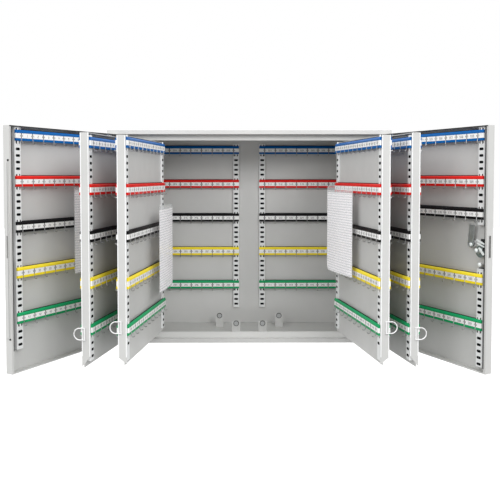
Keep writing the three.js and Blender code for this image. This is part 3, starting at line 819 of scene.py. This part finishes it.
# Rivet heads: x, y, z, radius and height.
HEADS = (
    (31.5, 14.9, 272.5, 4.6, 4.4),
    (48.0, 14.9, 284.0, 3.6, 2.4),
    (22.0, 15.9, 243.0, 4.6, 3.2),
)
# Near-black blocks, painted shade in the lock's gaps: x, y and z from and to, look. The last is painted shade
# beside the door's slot.
BLOCKS = (
    ((7.0, 27.0), (3.4, 12.0), (229.0, 236.0), "seal"),
    ((7.5, 13.5), (15.2, 17.6), (274.0, 281.0), "seal"),
    ((0.8, 0.98), (6.8, 8.6), (259.0, 306.0), "slot_dark"),
)


def make_lock_links():
    """The lock's spring plate, crossed links and rivet heads, the pale ones with a painted reflection, and
    near-black blocks of painted shade, which all stay with the door.
    """
    body = "right_door"
    links, blocks = Builder(), Builder()
    for link in LINKS:
        slanted_bar(links, *link)
    links.lathe_y(SPRING_PLATE, SPRING_PROFILE, "dull_zinc")
    for head in HEADS:
        dome(links, *head, "bright_zinc")
    make_piece("lock_links", links, opened(body) @ TO_ROW, body)
    for block in BLOCKS:
        blocks.box(*block)
    make_piece("lock_blocks", blocks, opened(body) @ TO_ROW, body)


# Painted shade: a grey line along the locking strip, and near-black notches at its ends.
GROOVE_SHADE = (-0.78, -0.7), (12.8, 14.0), (90.0, 461.0)
NOTCH, NOTCH_HEIGHTS = ((-3.48, -3.3), (10.6, 16.0)), ((83.5, 87.7), (463.3, 467.8))


def make_strip_marks():
    """Painted shade on the left door's locking strip: a grey line along it, and near-black notches where it
    starts and ends.
    """
    marks = Builder()
    marks.box(*GROOVE_SHADE, "groove_grey")
    for z in NOTCH_HEIGHTS:
        marks.box(*NOTCH, z, "seal")
    make_piece("strip_marks", marks, opened("left_door") @ TO_ROW, "left_door")


MAGNETS = ((36.0, 90.75, 30.5), (85.0, 176.25, 33.5))   # x, y of the magnet's back, z
RING = ((5.9, -1.3), (7.6, -0.9), (7.6, -0.02))
RING_SIDES = 24


def make_magnet_shade_rings():
    """Painted shade: a near-black ring around each floor magnet, against its bracket."""
    rings = Builder()
    for sign in (-1, 1):
        for x, back, z in MAGNETS:
            rings.lathe_y((sign * x, z), [(radius, back + y) for radius, y in RING], "seal", RING_SIDES)
    make_piece("magnet_shade_rings", rings, TO_ROW, "case")


make_door_shade("left")
make_door_shade("right")
for side in ("left", "right"):
    for key, leaf in LEAVES.items():
        make_rivets(side, key, leaf)
        make_fold_highlights(side, key, leaf)
make_lock_links()
make_strip_marks()
make_magnet_shade_rings()


# Materials and edges of the CAD nodes


def look_of(name):
    if name.startswith(("leaf_sheet", "leaf_return")):
        return "coat_leaf_painted_shade"
    if name == "hook_bolt":
        return "black_steel"
    if name.startswith(("leaf_pin", "door_pin", "lever")):
        return "zinc"
    if name.startswith("catch_magnet"):
        return "magnet"
    if name.startswith("finger_pull"):
        return "wire_white"
    if name.startswith(("lock_housing", "cylinder")):
        return "chrome"
    if name.startswith(("door", "lock")):
        return "coat_door"
    return "coat_case"


# The rounding of each look's edges, in millimetres.
EDGE_ROUND = {
    "coat_case": 0.6,
    "coat_door": 0.7,
    "coat_leaf_painted_shade": 0.5,
    "zinc": 0.3,
    "magnet": 0.8,
    "chrome": 0.25,
}
EDGE_ABOVE = math.radians(40)

for name, node in frame["nodes"].items():
    look = look_of(name)
    node.data.materials.clear()
    node.data.materials.append(LOOKS[look])
    if look in EDGE_ROUND:
        bevel = node.modifiers.new("edge", "BEVEL")
        bevel.width = EDGE_ROUND[look] * MM
        bevel.segments = 2
        bevel.limit_method = "ANGLE"
        bevel.angle_limit = EDGE_ABOVE
        bevel.harden_normals = False


# Floor, light and camera, in metres

FLOOR_HALF, FLOOR_LEVEL = 12.0, -0.95

# The studio's strength in front, low down and high up.
ROOM_LOW, ROOM_HIGH = 0.22, 1.55
ROOM_HEIGHTS, ROOM_BACK = (-0.2, 0.7), (-0.1, 0.3)   # where it brightens upwards, and towards the back

# Area lights: name, place, target, size and power.
LIGHTS = (
    ("key", (1.2, -2.6, 1.25), (0, -0.2, 0), (1.2, 0.9), 27),
    ("fill", (-1.8, -2.4, 1.1), (0, -0.25, 0), (1.4, 1.0), 23),
    ("low", (0.2, -3.0, -0.45), (0, -0.25, 0), (2.4, 0.7), 9),
)

LENS, SENSOR, SHIFT_Y = 46.88, 36.0, -0.0967
EYE, DOWN_DEGREES, RIGHT_DEGREES = (-0.0087, -1.9253, 0.1558), 2.19, 0.34


def make_floor():
    mesh = bpy.data.meshes.new("floor")
    size, level = FLOOR_HALF, FLOOR_LEVEL
    corners = [(-size, -size, level), (size, -size, level), (size, size, level), (-size, size, level)]
    mesh.from_pydata(corners, [], [(0, 1, 2, 3)])
    n = Nodes("floor_pale")
    n.set(Roughness=0.9, Emission_Color=(1, 1, 1, 1), Emission_Strength=0.14)
    n.link(n.tint(n.ramp(n.noise(3.0), 0.0, 1.0), (0.93, 0.93, 0.93), (0.96, 0.96, 0.96)),
           n.shader.inputs["Base Color"])
    mesh.materials.append(n.material)
    floor = bpy.data.objects.new("floor", mesh)
    bpy.context.scene.collection.objects.link(floor)
    floor.visible_diffuse = False
    floor.visible_glossy = False


def make_light(name, location, target, size, power):
    data = bpy.data.lights.new(name, "AREA")
    data.shape = "RECTANGLE"
    data.size, data.size_y = size
    data.energy = power
    lamp = bpy.data.objects.new(name, data)
    lamp.location = location
    lamp.rotation_euler = (Vector(target) - Vector(location)).to_track_quat("-Z", "Y").to_euler()
    bpy.context.scene.collection.objects.link(lamp)


def make_world():
    """A white studio lit from above. Its front half is dim low down, and its back half is white all over."""
    world = bpy.data.worlds.new("studio")
    world.use_nodes = True
    tree = world.node_tree
    place = tree.nodes.new("ShaderNodeTexCoord")
    split = tree.nodes.new("ShaderNodeSeparateXYZ")
    tree.links.new(place.outputs["Generated"], split.inputs["Vector"])

    def smooth(source, start, end, low, high):
        ramp = tree.nodes.new("ShaderNodeMapRange")
        ramp.interpolation_type = "SMOOTHSTEP"
        for name, value in (("From Min", start), ("From Max", end), ("To Min", low), ("To Max", high)):
            ramp.inputs[name].default_value = value
        tree.links.new(split.outputs[source], ramp.inputs["Value"])
        return ramp.outputs["Result"]

    mix = tree.nodes.new("ShaderNodeMix")
    tree.links.new(smooth("Y", *ROOM_BACK, 0.0, 1.0), mix.inputs[0])
    tree.links.new(smooth("Z", *ROOM_HEIGHTS, ROOM_LOW, ROOM_HIGH), mix.inputs[2])
    mix.inputs[3].default_value = 1.0
    background = tree.nodes["Background"]
    background.inputs["Color"].default_value = (1, 1, 1, 1)
    tree.links.new(mix.outputs[0], background.inputs["Strength"])
    bpy.context.scene.world = world


def make_camera():
    data = bpy.data.cameras.new("camera")
    data.lens = LENS
    data.sensor_width = SENSOR
    data.shift_y = SHIFT_Y
    camera = bpy.data.objects.new("camera", data)
    camera.location = EYE
    camera.rotation_euler = (math.radians(90 - DOWN_DEGREES), 0.0, math.radians(-RIGHT_DEGREES))
    bpy.context.scene.collection.objects.link(camera)
    bpy.context.scene.camera = camera


make_floor()
make_world()
for light in LIGHTS:
    make_light(*light)
make_camera()
bpy.context.scene.view_settings.view_transform = "Standard"
